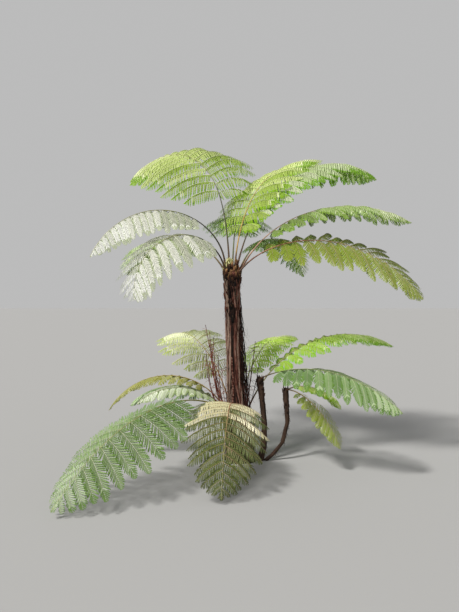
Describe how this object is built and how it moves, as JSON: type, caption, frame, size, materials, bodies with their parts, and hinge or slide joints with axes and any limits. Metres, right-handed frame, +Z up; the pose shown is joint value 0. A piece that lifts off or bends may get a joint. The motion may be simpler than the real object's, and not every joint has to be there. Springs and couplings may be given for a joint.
{
  "type": "tree fern",
  "caption": "Tree fern clump: a fibrous trunk with a spreading crown of arching feathery fronds, a skirt of lower fronds and short offshoot stems.",
  "frame": {"origin": "middle of the flat cut under the trunk, at ground level", "axes": "+Z up, +X to the right and +Y away from the camera of the picture"},
  "size_m": [3.4893, 3.3825, 3.5925],
  "materials": {
    "trunk_fibre": "dark brown fibrous mantle, matte",
    "crown_scales": "straw brown scales, matte",
    "dead_stipe": "dry reddish brown, matte",
    "stipe": "ochre to green, faintly glossy",
    "upper_frond": "light green leaflets, satin",
    "lower_frond": "mid green leaflets, satin"
  },
  "bodies": {
    "root": {"crown_heart": "crown_scales", "crozier": "crown_scales", "dead_stipe_1": "dead_stipe", "dead_stipe_2": "dead_stipe", "dead_stipe_3": "dead_stipe", "lower_frond_01_blade": "lower_frond", "lower_frond_01_blade_end": "lower_frond", "lower_frond_01_stipe": "stipe", "lower_frond_02_blade": "lower_frond", "lower_frond_02_stipe": "stipe", "lower_frond_03_blade": "lower_frond", "lower_frond_03_stipe": "stipe", "lower_frond_04_blade": "lower_frond", "lower_frond_04_stipe": "stipe", "lower_frond_05_blade": "lower_frond", "lower_frond_05_stipe": "stipe", "lower_frond_06_blade": "lower_frond", "lower_frond_06_stipe": "stipe", "lower_frond_07_blade": "lower_frond", "lower_frond_07_stipe": "stipe", "lower_frond_08_blade": "lower_frond", "lower_frond_08_stipe": "stipe", "lower_frond_09_blade": "lower_frond", "lower_frond_09_stipe": "stipe", "lower_frond_10_blade": "lower_frond", "lower_frond_10_stipe": "stipe", "lower_frond_11_blade": "lower_frond", "lower_frond_11_stipe": "stipe", "offshoot_stem_1": "trunk_fibre", "offshoot_stem_2": "trunk_fibre", "trunk": "trunk_fibre", "upper_frond_01_blade": "upper_frond", "upper_frond_01_blade_end": "upper_frond", "upper_frond_01_stipe": "stipe", "upper_frond_02_blade": "upper_frond", "upper_frond_02_blade_end": "upper_frond", "upper_frond_02_stipe": "stipe", "upper_frond_03_blade": "upper_frond", "upper_frond_03_blade_end": "upper_frond", "upper_frond_03_stipe": "stipe", "upper_frond_04_blade": "upper_frond", "upper_frond_04_stipe": "stipe", "upper_frond_05_blade": "upper_frond", "upper_frond_05_blade_end": "upper_frond", "upper_frond_05_stipe": "stipe", "upper_frond_06_blade": "upper_frond", "upper_frond_06_blade_end": "upper_frond", "upper_frond_06_stipe": "stipe", "upper_frond_07_blade": "upper_frond", "upper_frond_07_blade_end": "upper_frond", "upper_frond_07_stipe": "stipe", "upper_frond_08_blade": "upper_frond", "upper_frond_08_blade_end": "upper_frond", "upper_frond_08_stipe": "stipe", "upper_frond_09_blade": "upper_frond", "upper_frond_09_blade_end": "upper_frond", "upper_frond_09_stipe": "stipe", "upper_frond_10_blade": "upper_frond", "upper_frond_10_blade_end": "upper_frond", "upper_frond_10_stipe": "stipe"}
  },
  "joints": []
}
